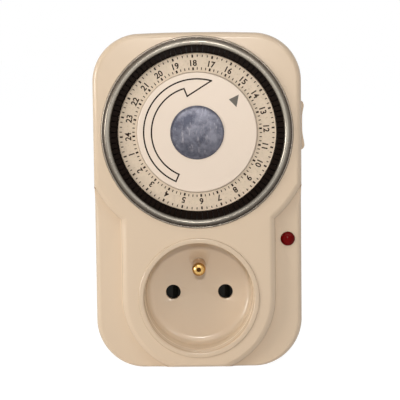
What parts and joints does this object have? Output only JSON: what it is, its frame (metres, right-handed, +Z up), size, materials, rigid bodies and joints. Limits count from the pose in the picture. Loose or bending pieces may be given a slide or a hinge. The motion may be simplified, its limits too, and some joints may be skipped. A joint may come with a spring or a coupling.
{
  "type": "plug-in timer switch",
  "caption": "Mechanical 24 hour plug-in timer for a French socket: ring dial with quarter-hour tappets over a recessed socket.",
  "frame": {"origin": "midway between the two plug pins, on the plug boss's end face", "axes": "+Z up as the timer hangs on the wall, -Y out of the dial and the socket, +Y along the plug pins, +X to the right seen from the front"},
  "size_m": [0.0753, 0.0797, 0.1197],
  "materials": {
    "cover_plastic": "moulded cream plastic, glossy",
    "bezel_metal": "bright plated ring",
    "disc_plastic": "pale cream plastic, satin",
    "label_metal": "grey-blue metallic, bare",
    "dial_plastic": "cream plastic with brown print",
    "tappet_plastic": "black plastic",
    "gear_plastic": "natural acetal",
    "steel": "plated steel",
    "brass": "drawn brass",
    "magnet": "bonded ferrite on a steel shaft",
    "copper": "copper strip and enamelled wire",
    "nickel": "nickel plated brass",
    "dark_plastic": "dark grey thermoset",
    "lens_red": "dark red translucent plastic",
    "lamp_glass": "clear glass with an orange glow electrode",
    "wire_sleeve": "insulated wire"
  },
  "bodies": {
    "housing": {"front_cover": "cover_plastic", "rear_cover": "cover_plastic", "socket_insert": "cover_plastic", "bezel_ring": "bezel_metal", "center_disc": "disc_plastic", "center_label": "label_metal", "dial_spindle": "steel", "dial_clip": "steel", "movement_plate": "brass", "gear_axles": "steel", "motor_can": "steel", "motor_top": "steel", "motor_bobbin": "gear_plastic", "motor_coil": "copper", "motor_leads": "wire_sleeve", "switch_base": "dark_plastic", "lever_pin": "steel", "load_bar": "copper", "live_bar": "copper", "neutral_bar": "copper", "line_pin": "nickel", "neutral_pin": "nickel", "live_contact": "brass", "neutral_contact": "brass", "contact_block": "dark_plastic", "earth_pin": "brass", "earth_sleeve": "brass", "earth_strap": "copper", "earth_clips": "nickel", "indicator_lens": "lens_red", "neon_lamp": "lamp_glass", "lamp_leads": "wire_sleeve", "override_switch": "dark_plastic", "case_screws": "steel", "plate_screw": "steel"},
    "dial": {"number_dial": "dial_plastic", "dial_gear": "gear_plastic"},
    "final_wheel": {"final_gear": "gear_plastic"},
    "second_wheel": {"second_gear": "brass"},
    "motor_rotor": {"rotor": "magnet"},
    "lever": {"follower_lever": "gear_plastic"},
    "blade": {"contact_blade": "brass"},
    "shutter_plate": {"shutter": "dark_plastic"},
    "slider": {"override_slider": "cover_plastic"},
    "tappets_12_15_group": {"tappets_12_15": "tappet_plastic"},
    "tappets_15_18_group": {"tappets_15_18": "tappet_plastic"},
    "tappets_18_21_group": {"tappets_18_21": "tappet_plastic"},
    "tappets_21_24_group": {"tappets_21_24": "tappet_plastic"},
    "tappets_0_3_group": {"tappets_0_3": "tappet_plastic"},
    "tappets_3_6_group": {"tappets_3_6": "tappet_plastic"},
    "tappets_6_9_group": {"tappets_6_9": "tappet_plastic"},
    "tappets_9_12_group": {"tappets_9_12": "tappet_plastic"}
  },
  "joints": [
    {"name": "dial_turn", "type": "hinge", "parent": "housing", "child": "dial", "pos_m": [0, 0, 0], "axis": [0, -1, 0], "continuous": true},
    {"name": "final_wheel_turn", "type": "hinge", "parent": "housing", "child": "final_wheel", "pos_m": [-0.0144, 0, -0.02494], "axis": [0, -1, 0], "continuous": true},
    {"name": "second_wheel_turn", "type": "hinge", "parent": "housing", "child": "second_wheel", "pos_m": [-0.01549, 0, -0.01249], "axis": [0, -1, 0], "continuous": true},
    {"name": "rotor_turn", "type": "hinge", "parent": "housing", "child": "motor_rotor", "pos_m": [-0.01063, 0, -0.00207], "axis": [0, -1, 0], "continuous": true},
    {"name": "press_12_15", "type": "slide", "parent": "dial", "child": "tappets_12_15_group", "axis": [0, -1, 0], "range_m": [-0.0024, 0]},
    {"name": "press_15_18", "type": "slide", "parent": "dial", "child": "tappets_15_18_group", "axis": [0, -1, 0], "range_m": [-0.0024, 0]},
    {"name": "press_18_21", "type": "slide", "parent": "dial", "child": "tappets_18_21_group", "axis": [0, -1, 0], "range_m": [-0.0024, 0]},
    {"name": "press_21_24", "type": "slide", "parent": "dial", "child": "tappets_21_24_group", "axis": [0, -1, 0], "range_m": [-0.0024, 0]},
    {"name": "press_0_3", "type": "slide", "parent": "dial", "child": "tappets_0_3_group", "axis": [0, -1, 0], "range_m": [-0.0024, 0]},
    {"name": "press_3_6", "type": "slide", "parent": "dial", "child": "tappets_3_6_group", "axis": [0, -1, 0], "range_m": [-0.0024, 0]},
    {"name": "press_6_9", "type": "slide", "parent": "dial", "child": "tappets_6_9_group", "axis": [0, -1, 0], "range_m": [-0.0024, 0]},
    {"name": "press_9_12", "type": "slide", "parent": "dial", "child": "tappets_9_12_group", "axis": [0, -1, 0], "range_m": [-0.0024, 0]},
    {"name": "lever_rock", "type": "hinge", "parent": "housing", "child": "lever", "pos_m": [-0.0298, -0.046, -0.013], "axis": [1, 0, 0], "range_deg": [-9.6, 0]},
    {"name": "blade_flex", "type": "hinge", "parent": "housing", "child": "blade", "pos_m": [-0.0298, -0.048, -0.034], "axis": [1, 0, 0], "range_deg": [0, 7.4]},
    {"name": "shutter_slide", "type": "slide", "parent": "housing", "child": "shutter_plate", "axis": [1, 0, 0], "range_m": [0, 0.0056], "stiffness_N_per_m": 60},
    {"name": "slider_slide", "type": "slide", "parent": "housing", "child": "slider", "axis": [0, 0, 1], "range_m": [-0.002, 0.002]}
  ],
  "couplings": [
    {"joint": "final_wheel_turn", "follows": "dial_turn", "ratio": -5},
    {"joint": "second_wheel_turn", "follows": "dial_turn", "ratio": 20},
    {"joint": "rotor_turn", "follows": "dial_turn", "ratio": -72},
    {"joint": "lever_rock", "follows": "press_21_24", "rad_per_m": 68.359},
    {"joint": "blade_flex", "follows": "press_21_24", "rad_per_m": -52.36}
  ]
}
